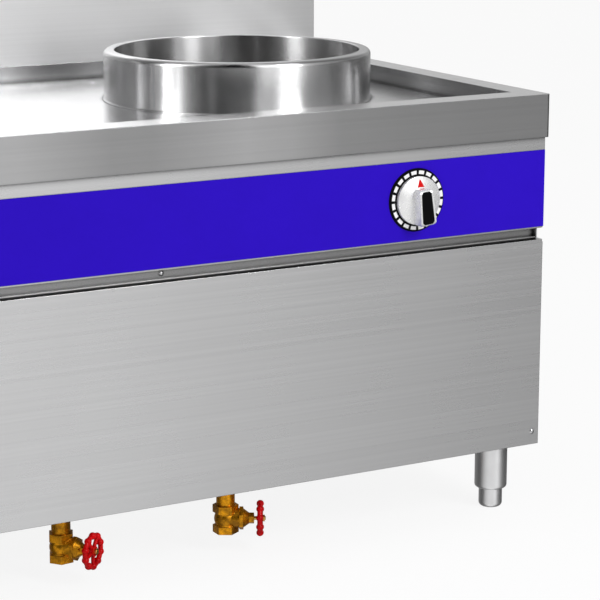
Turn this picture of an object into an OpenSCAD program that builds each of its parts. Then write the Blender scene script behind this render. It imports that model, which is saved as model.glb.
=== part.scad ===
// Double-burner wok range: folded steel body on four legs, two thick wok rings in a sunk top,
// blown gas burners in lined chambers, a coloured control band with two knobs, a backsplash
// that holds the flues, and two brass gate valves hanging under the front.
// The origin is on the floor, under the middle of the overall box, knob grips included.
// Depths are counted from the front of the worktop's lip, which faces -Y.

/* [Overall] */
// Width over the worktop
range_w = 1600; // [1560:10:1800]
// Depth of the worktop from lip to back
range_d = 1000; // [980:10:1080]
// Height of the worktop's rim above the floor
worktop_h = 800; // [780:5:850]
// Height of the backsplash above the rim
splash_h = 400; // [300:10:500]
// Depth of the backsplash box
splash_d = 115; // [110:1:130]
// Height of the body's underside above the floor
base_h = 130; // [125:1:150]
// Thickness of the folded sheet
sheet_t = 2; // [1.5:0.1:2.5]

/* [Worktop] */
// Width of the flat rim at the front
rim_front_w = 56; // [48:1:64]
// Width of the flat rim at each side
rim_side_w = 50; // [44:1:58]
// Height of the lip all round
lip_h = 80; // [70:1:90]
// Fold back under the lip
lip_return = 12; // [10:1:16]
// Depth of the basin under the rim
basin_depth = 34; // [24:1:36]
// Radius of the lip's two front corners
corner_r = 6; // [4:0.5:9]

/* [Wok rings] */
// Distance between the centres of the two rings
burner_pitch = 788; // [770:2:820]
// Bore that a wok hangs in
ring_bore_d = 472; // [464:2:480]
// Thickness of the ring's wall
ring_wall = 22; // [18:1:30]
// Height of the ring above the basin
ring_h = 95; // [70:1:120]
// Rounding of the ring's outer shoulder
ring_round = 9; // [5:0.5:12]
// Rounding of the ring's inner edge
ring_edge = 2; // [1:0.5:4]
// Weld bead round the foot of the ring
ring_bead = 3; // [2:0.5:5]

/* [Front and side panels] */
// Face of the coloured band behind the front of the lip
panel_setback = 5; // [3:0.5:10]
// Face of each side panel inside the side of the lip
side_setback = 6; // [4:0.5:10]
// Plain strip between the lip and the band
top_strip_h = 24; // [16:1:32]
// Height of the coloured band
band_h = 144; // [130:1:150]
// Thickness of the coloured sheet
band_t = 1; // [0.5:0.1:2]
// Plain edge of the control panel under the band
band_foot = 3; // [2:0.5:8]
// Height of the groove between the control panel and the lower panel
groove_h = 22; // [18:1:28]
// Depth of the groove, in front and at the sides
groove_depth = 12; // [9:0.5:14]
// How far the rail's ledge stands out in the groove
ledge_reach = 9; // [6:0.5:9]
// Slot between the ledge and the lower panel
ledge_gap = 4; // [3:0.5:6]
// How far the rail runs up and down behind the panels
rail_overlap = 22; // [15:1:30]
// Rounding of the control panel's lower corners
panel_round = 5; // [3:0.5:7]
// Cut at the lower panel's upper corners
panel_chamfer = 5; // [3:0.5:9]
// Fold of each side panel behind the front panels
side_flange = 22; // [18:1:26]

/* [Frame] */
// Leg of the angle steel
angle_w = 40; // [35:1:45]
// Thickness of the angle steel
angle_t = 4; // [3:0.5:5]

/* [Legs and feet] */
// Diameter of the leg tube
leg_d = 62; // [56:1:66]
// Wall of the leg tube
leg_wall = 2; // [1.5:0.5:3]
// Leg centre from the side of the worktop
leg_side_inset = 72; // [72:1:90]
// Leg centre from the front of the lip, and from the back
leg_front_inset = 66; // [66:1:80]
// Height of the leg tube's lower end above the floor
leg_clear_h = 38; // [34:1:50]
// Rounding of the leg tube's lower end
leg_round = 6; // [4:0.5:8]
// Side of the square plate on top of a leg
leg_plate_w = 90; // [80:1:92]
// Thickness of that plate
leg_plate_t = 4; // [3:0.5:6]
// Thickness of the threaded plug in the leg's lower end
leg_plug_t = 18; // [14:1:24]
// Diameter of a foot
foot_d = 45; // [38:1:48]
// Rounding of a foot's lower edge
foot_round = 8; // [5:0.5:10]
// Diameter of a foot's stud
stud_d = 16; // [12:1:20]
// How far a foot can be wound out
foot_travel = 30; // [20:1:36]

/* [Knobs] */
// Knob centre from the side of the worktop
knob_side_inset = 287; // [260:1:310]
// Knob centre above the middle of the band
knob_rise = 2; // [0:0.5:4]
// Diameter of the dial plate
dial_d = 116; // [112:1:124]
// Thickness of the dial plate
dial_t = 4; // [3:0.5:5]
// Width of the slanted edge round the dial plate
dial_bevel = 2.5; // [1:0.5:4]
// Diameter of the knob's disc
knob_d = 88; // [88:1:98]
// Thickness of the disc at its edge
knob_edge_t = 6; // [4:0.5:8]
// Height of the dome on the disc
knob_dome_h = 9; // [6:0.5:12]
// How far a grip stands in front of the lip
knob_reach = 33; // [30:1:40]
// Grip above the middle of the knob
grip_up = 24; // [20:1:30]
// Grip below the middle of the knob
grip_down = 43; // [36:1:43]
// Width of the grip at its pointing end
grip_tip_w = 28; // [24:1:30]
// Width of the grip at its other end
grip_tail_w = 32; // [30:1:36]
// Cut at the grip's corners
grip_chamfer = 5; // [3:0.5:7]
// Rounding of the grip's ends towards its face
grip_round = 8; // [5:0.5:12]
// Bare border round the grip's inset
inset_border = 3.5; // [3:0.5:5]
// Thickness of the inset
inset_t = 2; // [1.5:0.1:3]
// How far the inset stands in its pocket
inset_seat = 1.2; // [0.8:0.1:1.5]
// Turn of the knobs at rest
knob_rest_turn = 6; // [0:1:15]
// Diameter of the spindle
spindle_d = 12; // [10:0.5:14]

/* [Control valves] */
// Diameter of the valve body
control_body_d = 44; // [42:1:50]
// Height of the valve body
control_body_h = 60; // [50:1:70]
// Diameter of the neck to the panel
control_neck_d = 28; // [26:1:32]
// Diameter of the flange behind the panel
control_flange_d = 60; // [50:1:66]
// Thickness of that flange
control_flange_t = 4; // [3:0.5:6]
// Reach of the sockets from the valve's middle
control_socket_reach = 42; // [40:1:50]

/* [Gate valves] */
// Distance between the two gate valves
valve_spread = 322; // [290:2:360]
// Centre of the gate valves, and of the control valves above, behind the front of the lip
valve_inset = 80; // [78:1:90]
// Height of the stem's axis above the floor
valve_axis_h = 61; // [60:1:70]
// Turn of the left valve's stem towards the front
valve_turn_left = 53; // [30:1:55]
// Turn of the right valve's stem towards the front
valve_turn_right = 30; // [20:1:40]
// Length from port to port
valve_len = 52; // [50:1:62]
// Width across the flats of the end hexagons
valve_hex_w = 41; // [39:1:44]
// Height of the end hexagons
valve_hex_h = 14; // [13:0.5:15]
// Diameter of the ports
port_d = 30.3; // [29.5:0.1:31]
// Depth of the ports
port_depth = 14; // [12:0.5:15]
// Diameter of the passage between the ports
passage_d = 21; // [18:0.5:21]
// Diameter of the gate
gate_d = 25; // [24:0.5:26]
// Half of the gate's thickness at its thin end
gate_half_thin = 4.6; // [4.6:0.1:5]
// Half of the gate's thickness at its thick end
gate_half_thick = 5.6; // [5.4:0.1:6]
// Travel of the gate from shut to open
gate_travel = 24; // [23:0.5:25]
// Room round the gate in its slot
gate_room = 0.5; // [0.4:0.1:0.8]
// Diameter of the barrel
valve_barrel_d = 38; // [36:1:40]
// Diameter of the side neck
valve_neck_d = 36; // [34:1:38]
// Reach of the side neck
valve_neck_reach = 25; // [24:0.5:27]
// Height of the bonnet's hexagon
bonnet_hex_h = 7; // [6:0.5:9]
// Width across the flats of the bonnet's hexagon
bonnet_hex_w = 38; // [36:1:40]
// Diameter of the bonnet's nose
bonnet_nose_d = 20; // [18:0.5:22]
// Wall of the bonnet beyond the collar
bonnet_end_wall = 3; // [2.5:0.5:4]
// Width across the flats of the packing nut
packing_hex_w = 18; // [16:0.5:20]
// Height of the packing nut
packing_h = 9; // [7:0.5:10]
// Diameter of the stem
stem_d = 7; // [6:0.5:7]
// Diameter of the stem's collar
collar_d = 12; // [11:0.5:13]
// Thickness of the stem's collar
collar_t = 2.4; // [2:0.1:3]
// Distance from the packing nut to the wheel's hub
stem_bare = 6.5; // [3:0.5:8]
// Diameter of the handwheel
wheel_d = 68; // [62:1:72]
// Diameter of the handwheel's rim section
wheel_rim_d = 9; // [7:0.5:10]
// Diameter of the rim's grip lobes
wheel_lobe_d = 13; // [11:0.5:14]
// Number of grip lobes
wheel_lobes = 10; // [8:1:12]
// Number of spokes
wheel_spokes = 5; // [3:1:6]
// Diameter of a spoke
wheel_spoke_d = 7; // [6:0.5:8]
// Diameter of the wheel's hub
wheel_hub_d = 19; // [17:0.5:21]
// Length of the wheel's hub
wheel_hub_h = 9; // [8:0.5:11]
// Width across the flats of the wheel nut
wheel_nut_w = 11; // [10:0.5:13]
// Height of the wheel nut
wheel_nut_h = 4; // [3:0.5:5]
// Stem beyond the wheel nut
stem_end = 1.5; // [1:0.5:3]

/* [Gas pipes] */
// Outside diameter of the main pipe
main_pipe_d = 33.7; // [32:0.1:34]
// Wall of the main pipe
main_pipe_wall = 3.2; // [2.5:0.1:4]
// Outside diameter of the burner's pipe
feed_pipe_d = 21.3; // [20:0.1:22]
// Wall of the burner's pipe
feed_pipe_wall = 2.6; // [2:0.1:3]
// How much thicker an elbow or socket is than its pipe, all round
fitting_extra = 4; // [3:0.5:5]
// Distance from the chamber's floor down to the burner pipe's level run
feed_drop = 50; // [40:2:60]
// Distance from the burner's axis to its gas inlet
feed_inlet_r = 78; // [74:1:82]
// Diameter of the pilot tube
pilot_d = 8; // [6:0.5:10]
// Pilot tube above the end of the lining's straight part
pilot_rise = 8; // [8:1:16]
// Reach of the pilot tube inside the lining
pilot_reach = 12; // [6:1:16]

/* [Burners] */
// Outside diameter of a chamber's shell
chamber_d = 492; // [486:2:496]
// Width of the flange under the basin plate
chamber_flange_w = 26; // [20:1:30]
// Room between the shell and its hole in the plate, and round the lining
chamber_room = 0.4; // [0.3:0.1:0.8]
// Wall of the lining at its top
lining_wall = 16; // [15:1:22]
// Height of the lining's straight part
lining_straight_h = 66; // [60:1:70]
// Radius of the hole in the lining's floor
lining_hole_r = 102; // [99:1:106]
// Thickness of the lining's floor at that hole
lining_floor_t = 20; // [15:1:30]
// Radius of the burner's foot
burner_foot_r = 98; // [94:1:98]
// Thickness of the burner's foot
burner_foot_t = 10; // [8:0.5:12]
// Radius of the burner's crown
burner_crown_r = 70; // [64:1:72]
// Height of the burner above the chamber's floor
burner_h = 62; // [55:1:70]
// Wall of the burner casting
burner_wall = 8; // [6:0.5:10]
// Number of flame slots
flame_slots = 20; // [12:1:24]
// Width of a flame slot
flame_slot_w = 5; // [4:0.5:6]
// Radius of the hole in the middle of the crown
flame_hole_r = 12; // [10:1:16]
// Outside diameter of the air pipe
air_pipe_d = 75; // [70:1:76]
// Radius of the air pipe's bend, at its middle
air_bend_r = 86; // [80:1:88]
// Straight run of the air pipe between its bend and the chamber's floor
air_rise = 20.5; // [10:0.5:26]
// Width of the air pipe's upper flange beyond the pipe
air_flange_w = 14; // [12:1:18]
// Thickness of the air pipe's flanges
air_flange_t = 4; // [3:0.5:5]

/* [Blowers] */
// Blower's axis behind the front of the lip
blower_inset = 820; // [800:5:830]
// Blower's axis above the base
blower_axis_h = 132; // [130:1:136]
// Inside width of the scroll
blower_w = 96; // [90:1:102]
// Diameter of the impeller
impeller_d = 136; // [128:1:138]
// Width of the impeller
impeller_w = 76; // [70:1:80]
// Number of impeller blades
blade_count = 20; // [12:1:24]
// Width of the ring of blades
blade_w = 16; // [12:1:18]
// Thickness of a blade
blade_t = 2; // [1.5:0.5:2.5]
// Slant of a blade
blade_slant = 28; // [15:1:35]
// Gap between the impeller and the scroll at the tongue
tongue_gap = 6; // [5:0.5:8]
// Growth of the scroll from the tongue to the outlet
scroll_growth = 75; // [70:1:78]
// Wall of the scroll
blower_wall = 2; // [1.5:0.5:3]
// Distance from the blower's axis to its outlet
outlet_reach = 150; // [145:1:155]
// Diameter of the intake
intake_d = 96; // [80:1:104]
// Diameter of the motor
motor_d = 100; // [90:1:110]
// Length of the motor
motor_len = 105; // [90:1:115]
// Number of cooling fins on the motor
motor_fins = 12; // [8:1:16]
// Height of a cooling fin
motor_fin_h = 4; // [3:0.5:5]
// Thickness of a cooling fin
motor_fin_t = 3; // [2:0.5:4]
// Diameter of the motor's shaft
shaft_d = 12; // [10:0.5:14]
// Half of the foot plate's length
blower_foot_half = 68; // [64:1:74]

/* [Flues] */
// Inside width of a flue
flue_w = 160; // [150:1:170]
// Inside depth of a flue's riser
flue_riser_d = 58; // [50:1:60]
// Inside height of a flue's level part
flue_level_h = 76; // [70:1:80]
// Distance from the basin plate down to the level part
flue_drop = 68; // [67:1:72]
// Wall of a flue
flue_wall = 1.5; // [1:0.1:2]
// Gap between the backsplash and a riser
flue_gap = 4; // [2:0.5:5]
// Number of slots over each flue
flue_slots = 10; // [8:1:12]
// Width of a slot
flue_slot_w = 8; // [6:0.5:10]

/* [Vents and screws] */
// Number of vent slots in a group
vent_slots = 8; // [6:1:9]
// Length of a vent slot
vent_slot_l = 130; // [100:5:150]
// Width of a vent slot
vent_slot_w = 8; // [6:0.5:10]
// Distance between vent slots
vent_pitch = 18; // [16:1:20]
// Height of the rear vents above the base
vent_h = 60; // [50:1:80]
// Diameter of a screw's shank
screw_d = 5; // [4:0.5:5]
// Diameter of a screw's head
screw_head_d = 10; // [9:0.5:11]
// Height of a screw's head
screw_head_h = 2.5; // [2:0.1:3]
// Length of a screw's shank
screw_len = 7; // [6:0.5:8]
// Panel screws above the base
panel_screw_h = 25; // [20:1:40]
// Panel screws from the side of the worktop
panel_screw_inset = 20.6; // [17:0.1:24]
// Plate screws from the ring's centre, sideways
plate_screw_side = 155; // [140:5:170]
// Plate screws from the ring's centre, front and back
plate_screw_depth = 335; // [325:1:340]
// Shift of the groove rail's screw from the middle
rail_screw_shift = 9; // [0:1:20]
// Rear screws from the side of the worktop
rear_screw_inset = 45; // [42:1:50]

/* [Hidden] */
// Overrun of every cut
over = 1;
// Running fit, all round, of a stem or shaft in its bore
run_fit = 0.05;
// Play between a shank or pipe and its hole
hole_play = 0.1;
// Gap between a foot and the plug above it at rest
seat_gap = 0.3;
// Gap between a knob and its dial
knob_gap = 0.5;
// Smoothness of round parts
$fn = 64;

left = -1;
right = 1;
sides = [left, right];
front_end = 1;
rear_end = 0;

// The frame's origin lies under the middle of the box from the grips to the rear screws' heads
lip_y = knob_reach - (knob_reach + range_d + screw_head_h) / 2;

lip_bottom = worktop_h - lip_h;
basin_z = worktop_h - basin_depth;
plate_under = basin_z - sheet_t;
basin_half = range_w / 2 - rim_side_w;
basin_back = range_d - splash_d;
basin_d = basin_back - rim_front_w;
burner_x = burner_pitch / 2;
burner_d = (rim_front_w + basin_back) / 2;
ring_r = ring_bore_d / 2;
ring_outer_r = ring_r + ring_wall;
ring_top = basin_z + ring_h;

panel_half = range_w / 2 - side_setback;
steel_face = panel_setback + band_t;
rail_face = steel_face + groove_depth;
frame_front = rail_face + sheet_t;
frame_half = panel_half - groove_depth - sheet_t;
frame_back = range_d - sheet_t;
band_top = lip_bottom - top_strip_h;
band_bottom = band_top - band_h;
control_bottom = band_bottom - band_foot;
lower_top = control_bottom - groove_h;
base_frame_z = base_h + sheet_t;
post_z = base_frame_z + angle_w;

chamber_r = chamber_d / 2;
lining_r = chamber_r - sheet_t - chamber_room;
bowl_r = lining_r - lining_wall;
bowl_z = basin_z - lining_straight_h;
air_r = air_pipe_d / 2;
burner_neck_r = air_r;

knob_x = range_w / 2 - knob_side_inset;
control_inset = valve_inset;
knob_z = (band_top + band_bottom) / 2 + knob_rise;
spindle_r = spindle_d / 2;
spindle_end = control_inset + control_body_d / 4;
grip_face = panel_setback + knob_reach;

valve_x = valve_spread / 2;
valve_half = valve_len / 2;
port_r = port_d / 2;
gate_r = gate_d / 2;
stem_r = stem_d / 2;
slot_end = gate_travel + gate_r + gate_room;
collar_start = slot_end;
collar_seat = collar_start + collar_t + run_fit;
bonnet_end = collar_seat + bonnet_end_wall;
packing_end = bonnet_end + packing_h;
hub_start = packing_end + stem_bare;
hub_end = hub_start + wheel_hub_h;
nut_end = hub_end + wheel_nut_h;
wheel_r = wheel_d / 2;
wheel_ring_r = wheel_r - wheel_lobe_d / 2;
wheel_mid = hub_start + wheel_hub_h / 2;

blower_z = base_h + blower_axis_h;
impeller_r = impeller_d / 2;
tongue_r = impeller_r + tongue_gap;
scroll_r = tongue_r + scroll_growth;
outlet_z = blower_z + (tongue_r + scroll_r) / 2;
shaft_r = shaft_d / 2;
air_level_z = outlet_z;
air_bend_z = air_level_z + air_bend_r;
chamber_floor = air_bend_z + air_rise;
chamber_h = basin_z - chamber_floor;
lining_z = chamber_floor + sheet_t;
lining_h = chamber_h - sheet_t - hole_play;
blower_front = blower_inset - outlet_reach;

flue_front = basin_back + sheet_t + flue_gap;
flue_top = worktop_h + splash_h - sheet_t;
flue_level_z = basin_z - flue_drop - flue_level_h;
rail_depths = [burner_d - plate_screw_depth, burner_d + plate_screw_depth];
blower_rail_depths = [blower_inset - blower_foot_half, blower_inset + blower_foot_half];
leg_depths = [range_d - leg_front_inset, leg_front_inset];
feed_z = chamber_floor - feed_drop;
pilot_z = bowl_z + pilot_rise;
pilot_seat = burner_d - sqrt(pow(bowl_r, 2) - pow(knob_x - burner_x, 2));
rear_screw_heights = [base_frame_z + angle_w / 2, (base_h + lip_bottom) / 2, lip_bottom - angle_w / 2];
rail_screw_z = (lower_top + ledge_gap + sheet_t + control_bottom) / 2;

// Places things whose depth is counted from the front of the lip
module from_lip() {
    translate([0, lip_y, 0]) children();
}

// Repeats a right-hand thing on one side, mirrored for the left
module on_side(side) {
    mirror([side == left ? 1 : 0, 0, 0]) children();
}

// A block from its corner of least x, depth and height to the opposite one
module block(low, high) {
    translate(low) cube(high - low);
}

// A straight round bar from one point to another
module bar(start, end, r) {
    run = end - start;
    reach = norm(run);
    translate(start)
        rotate([0, acos(run[2] / reach), atan2(run[1], run[0])])
            cylinder(r = r, h = reach);
}

// A hexagonal prism given by its width across the flats
module hex(width, height) {
    cylinder(d = width / cos(30), h = height, $fn = 6);
}

// Turns a thing built upwards so that it points along +X
module along_x() {
    rotate([0, 90, 0]) children();
}

// Turns a thing built upwards so that it points forwards, its own +Y upwards
module forwards() {
    rotate([90, 0, 0]) children();
}

// Worktop outline with two round front corners
module worktop_outline(half, depth, r) {
    translate([r - half, 0]) square([2 * (half - r), depth]);
    translate([-half, r]) square([2 * half, depth - r]);
    for (side = sides) translate([side * (half - r), r]) circle(r);
}

// Worktop outline at one height, drawn in by an inset
module worktop_slab(inset, low, high) {
    translate([0, inset, low])
        linear_extrude(high - low)
            worktop_outline(range_w / 2 - inset, range_d - 2 * inset, max(corner_r - inset, corner_r / 4));
}

// Folded worktop in one sheet: rim, lip with a return except at the rear, basin walls and plate
module worktop() {
    color("silver") from_lip() difference() {
        worktop_slab(0, lip_bottom, worktop_h);
        block([-basin_half, rim_front_w, basin_z], [basin_half, basin_back, worktop_h + over]);
        difference() {
            worktop_slab(sheet_t, lip_bottom + sheet_t, worktop_h - sheet_t);
            block([-basin_half - sheet_t, rim_front_w - sheet_t, plate_under],
                [basin_half + sheet_t, basin_back + sheet_t, worktop_h]);
        }
        worktop_slab(lip_return, lip_bottom - over, lip_bottom + sheet_t + over);
        block([lip_return - range_w / 2, range_d / 2, lip_bottom - over],
            [range_w / 2 - lip_return, frame_back, lip_bottom + sheet_t + over]);
        for (side = sides) {
            translate([side * burner_x, burner_d, plate_under - over])
                cylinder(r = chamber_r + chamber_room, h = sheet_t + 2 * over);
            on_side(side) flue_hole(worktop_h);
        }
        plate_screw_places() cylinder(d = screw_d + 2 * hole_play, h = 4 * sheet_t, center = true);
    }
}

// Opening for a right-hand riser through a level sheet
module flue_hole(height) {
    block([burner_x - flue_w / 2 - flue_wall - hole_play, flue_front - hole_play, height - sheet_t - over],
        [burner_x + flue_w / 2 + flue_wall + hole_play,
        flue_front + flue_riser_d + 2 * flue_wall + hole_play, height + over]);
}

// Places of the screws that hold the basin plate to the rails under it
module plate_screw_places() {
    for (side = sides, across = sides, back = sides)
        translate([side * burner_x + across * plate_screw_side, burner_d + back * plate_screw_depth, basin_z])
            children();
}

// Thick ring with a round shoulder and a weld bead at its foot
module wok_ring(side) {
    color("gainsboro") from_lip() translate([side * burner_x, burner_d, basin_z])
        rotate_extrude() {
            difference() {
                translate([ring_r, 0]) square([ring_wall, ring_h]);
                translate([ring_outer_r - ring_round, ring_h - ring_round]) difference() {
                    square(ring_round + over);
                    circle(ring_round);
                }
                translate([ring_r + ring_edge, ring_h - ring_edge]) difference() {
                    translate([-ring_edge - over, 0]) square(ring_edge + over);
                    circle(ring_edge);
                }
            }
            translate([ring_outer_r - over, 0]) intersection() {
                square([ring_bead + over, ring_bead]);
                translate([over, 0]) circle(ring_bead);
            }
        }
}

// Backsplash: front, sides and top in one folded sheet, slotted over the flues, with rear returns
module backsplash() {
    color("lightgray") from_lip() difference() {
        block([-range_w / 2, basin_back, worktop_h], [range_w / 2, frame_back, worktop_h + splash_h]);
        block([sheet_t - range_w / 2, basin_back + sheet_t, worktop_h - over],
            [range_w / 2 - sheet_t, frame_back - sheet_t, flue_top]);
        block([sheet_t + lip_return - range_w / 2, frame_back - sheet_t - over, worktop_h - over],
            [range_w / 2 - sheet_t - lip_return, frame_back + over, flue_top - lip_return]);
        slot_pitch = flue_w / flue_slots;
        for (side = sides, i = [0:flue_slots - 1])
            translate([side * burner_x - flue_w / 2 + (i + 1 / 2) * slot_pitch, flue_front + flue_wall, 0])
                block([-flue_slot_w / 2, 0, flue_top - over],
                    [flue_slot_w / 2, flue_riser_d, worktop_h + splash_h + over]);
        cover_screw_places() cylinder(d = screw_d + 2 * hole_play, h = 6 * sheet_t, center = true);
    }
}

// Flat rear cover of the backsplash
module backsplash_cover() {
    color("darkgray") from_lip() difference() {
        block([-range_w / 2, frame_back, worktop_h], [range_w / 2, range_d, worktop_h + splash_h]);
        cover_screw_places() cylinder(d = screw_d + 2 * hole_play, h = 4 * sheet_t, center = true);
    }
}

// Places of the screws in the backsplash's cover, facing backwards
module cover_screw_places() {
    heights = [worktop_h + lip_return, worktop_h + splash_h / 2, flue_top - lip_return / 2];
    for (side = sides, height = heights)
        translate([side * (range_w / 2 - sheet_t - lip_return / 2), range_d, height])
            rotate([-90, 0, 0]) children();
}

// Control panel: the steel face behind the coloured sheet, with folds above and below
module control_panel() {
    color("silver") from_lip() difference() {
        union() {
            translate([0, steel_face + sheet_t, 0]) forwards() linear_extrude(sheet_t) control_outline();
            for (low = [control_bottom, lip_bottom - sheet_t])
                block([-frame_half, steel_face + sheet_t / 2, low], [frame_half, rail_face, low + sheet_t]);
        }
        knob_holes();
    }
}

// Outline of the control panel, with round lower corners
module control_outline() {
    translate([-panel_half, control_bottom + panel_round])
        square([2 * panel_half, lip_bottom - control_bottom - panel_round]);
    translate([panel_round - panel_half, control_bottom])
        square([2 * (panel_half - panel_round), lip_bottom - control_bottom]);
    for (side = sides)
        translate([side * (panel_half - panel_round), control_bottom + panel_round]) circle(panel_round);
}

// Holes for the two spindles through the panels
module knob_holes() {
    for (side = sides)
        translate([side * knob_x, 0, knob_z])
            rotate([-90, 0, 0]) cylinder(d = control_neck_d / 2, h = 2 * rail_face);
}

// Coloured sheet on the control panel
module colour_panel() {
    color("mediumblue") from_lip() difference() {
        block([-panel_half, panel_setback, band_bottom], [panel_half, steel_face, band_top]);
        knob_holes();
    }
}

// Groove rail: a flat strip behind both panels, with a ledge in the groove
module groove_rail() {
    ledge_z = lower_top + ledge_gap;
    color("darkgray") from_lip() difference() {
        union() {
            block([-frame_half, rail_face, lower_top - rail_overlap],
                [frame_half, frame_front, control_bottom + rail_overlap]);
            block([-frame_half, rail_face - ledge_reach, ledge_z],
                [frame_half, rail_face + sheet_t / 2, ledge_z + sheet_t]);
        }
        translate([rail_screw_shift, rail_face, rail_screw_z])
            forwards() cylinder(d = screw_d + 2 * hole_play, h = 4 * sheet_t, center = true);
    }
}

// Lower front panel, with folds above and below and cut upper corners
module lower_panel() {
    color("silver") from_lip() difference() {
        union() {
            translate([0, steel_face + sheet_t, 0]) forwards() linear_extrude(sheet_t) polygon([
                [-panel_half, base_h], [panel_half, base_h], [panel_half, lower_top - panel_chamfer],
                [panel_half - panel_chamfer, lower_top], [panel_chamfer - panel_half, lower_top],
                [-panel_half, lower_top - panel_chamfer]
            ]);
            for (low = [base_h, lower_top - sheet_t])
                block([-frame_half, steel_face + sheet_t / 2, low], [frame_half, rail_face, low + sheet_t]);
        }
        panel_screw_places() cylinder(d = screw_d + 2 * hole_play, h = 4 * sheet_t, center = true);
    }
}

// Places of the lower panel's screws, facing forwards
module panel_screw_places() {
    for (side = sides)
        translate([side * (range_w / 2 - panel_screw_inset), steel_face, base_h + panel_screw_h])
            forwards() children();
}

// Side panel: one sheet stepped in at the groove, folded at its lower, upper and front edges
module side_panel(side) {
    outer = panel_half;
    inner = panel_half - sheet_t;
    front = steel_face + sheet_t;
    color("silver") from_lip() on_side(side) difference() {
        union() {
            translate([0, frame_back, 0]) forwards() linear_extrude(frame_back - front) polygon([
                [frame_half, base_h], [outer, base_h], [outer, lower_top], [frame_half + sheet_t, lower_top],
                [frame_half + sheet_t, control_bottom], [outer, control_bottom], [outer, lip_bottom],
                [frame_half, lip_bottom], [frame_half, lip_bottom - sheet_t], [inner, lip_bottom - sheet_t],
                [inner, control_bottom + sheet_t], [frame_half, control_bottom + sheet_t],
                [frame_half, lower_top - sheet_t], [inner, lower_top - sheet_t], [inner, base_frame_z],
                [frame_half, base_frame_z]
            ]);
            block([inner - side_flange, front, base_frame_z],
                [inner + sheet_t / 2, front + sheet_t, lower_top - sheet_t]);
            block([inner - side_flange, front, control_bottom + sheet_t],
                [inner + sheet_t / 2, front + sheet_t, lip_bottom - sheet_t]);
        }
        panel_screw_places() cylinder(d = screw_d + 2 * hole_play, h = 6 * sheet_t, center = true);
    }
}

// Rear panel with two groups of vent slots behind the blowers
module rear_panel() {
    color("darkgray") from_lip() difference() {
        block([-panel_half, frame_back, base_h], [panel_half, range_d, lip_bottom]);
        for (side = sides, i = [0:vent_slots - 1])
            translate([side * burner_x, frame_back, base_h + vent_h + i * vent_pitch])
                block([-vent_slot_l / 2, -over, 0], [vent_slot_l / 2, sheet_t + over, vent_slot_w]);
        rear_screw_places() cylinder(d = screw_d + 2 * hole_play, h = 4 * sheet_t, center = true);
    }
}

// Places of the rear panel's screws, facing backwards
module rear_screw_places() {
    for (side = sides, height = rear_screw_heights)
        translate([side * (range_w / 2 - rear_screw_inset), range_d, height]) rotate([-90, 0, 0]) children();
}

// Bottom pan, slotted under the blowers and bored for the gas pipes
module bottom_pan() {
    color("darkgray") from_lip() difference() {
        block([-frame_half, rail_face, base_h], [frame_half, frame_back, base_frame_z]);
        for (side = sides) {
            translate([side * valve_x, valve_inset, base_h - over])
                cylinder(d = main_pipe_d + 2 * fitting_extra, h = sheet_t + 2 * over);
            for (i = [0:vent_slots - 1])
                translate([side * burner_x, burner_d + i * vent_pitch, base_h])
                    block([-vent_slot_l / 2, 0, -over], [vent_slot_l / 2, vent_slot_w, sheet_t + over]);
        }
    }
}

// Ring of angle steel, its level legs at the bottom
module angle_ring(low) {
    difference() {
        block([-frame_half, frame_front, low], [frame_half, frame_back, low + angle_w]);
        block([angle_t - frame_half, frame_front + angle_t, low + angle_t],
            [frame_half - angle_t, frame_back - angle_t, low + angle_w + over]);
        block([angle_w - frame_half, frame_front + angle_w, low - over],
            [frame_half - angle_w, frame_back - angle_w, low + angle_w]);
    }
}

// Base frame, with two rails under the blowers
module base_frame() {
    half = frame_half - angle_t / 2;
    color("dimgray") from_lip() difference() {
        union() {
            angle_ring(base_frame_z);
            for (end = [front_end, rear_end]) {
                depth = blower_rail_depths[1 - end];
                outer = end == front_end ? depth - angle_w / 2 : depth + angle_w / 2 - angle_t;
                block([-half, depth - angle_w / 2, base_frame_z],
                    [half, depth + angle_w / 2, base_frame_z + angle_t]);
                block([-half, outer, base_frame_z], [half, outer + angle_t, post_z]);
            }
        }
        rear_screw_places() cylinder(d = screw_d + 2 * hole_play, h = 8 * sheet_t, center = true);
    }
}

// Upper frame: four posts, the ring under the worktop and two rails under the basin plate
module upper_frame() {
    ring_z = plate_under - angle_w;
    half = frame_half - angle_t / 2;
    color("dimgray") from_lip() difference() {
        union() {
            translate([0, 0, ring_z + plate_under]) mirror([0, 0, 1]) angle_ring(ring_z);
            for (side = sides) on_side(side) {
                corner_post(frame_front, 1);
                corner_post(frame_back, -1);
            }
            for (end = [front_end, rear_end]) {
                depth = rail_depths[1 - end];
                outer = end == front_end ? depth - angle_w / 2 : depth + angle_w / 2 - angle_t;
                block([-half, depth - angle_w / 2, plate_under - angle_t],
                    [half, depth + angle_w / 2, plate_under]);
                block([-half, outer, ring_z], [half, outer + angle_t, plate_under]);
            }
        }
        plate_screw_places() cylinder(d = screw_d + 2 * hole_play, h = 8 * sheet_t, center = true);
        rear_screw_places() cylinder(d = screw_d + 2 * hole_play, h = 8 * sheet_t, center = true);
    }
}

// Right-hand post of angle steel in a corner, opening towards the middle
module corner_post(depth, inwards) {
    translate([0, depth, 0]) mirror([0, inwards < 0 ? 1 : 0, 0]) {
        block([frame_half - angle_w, 0, post_z], [frame_half, angle_t, plate_under - angle_t / 2]);
        block([frame_half - angle_t, 0, post_z], [frame_half, angle_w, plate_under - angle_t / 2]);
    }
}

// Places of the four legs
module leg_place(side, end) {
    translate([side * (range_w / 2 - leg_side_inset), leg_depths[end], 0]) children();
}

// Four leg tubes, each with its top plate and threaded plug
module legs() {
    color("silver") from_lip() for (side = sides, end = [front_end, rear_end]) leg_place(side, end) leg();
}

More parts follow.
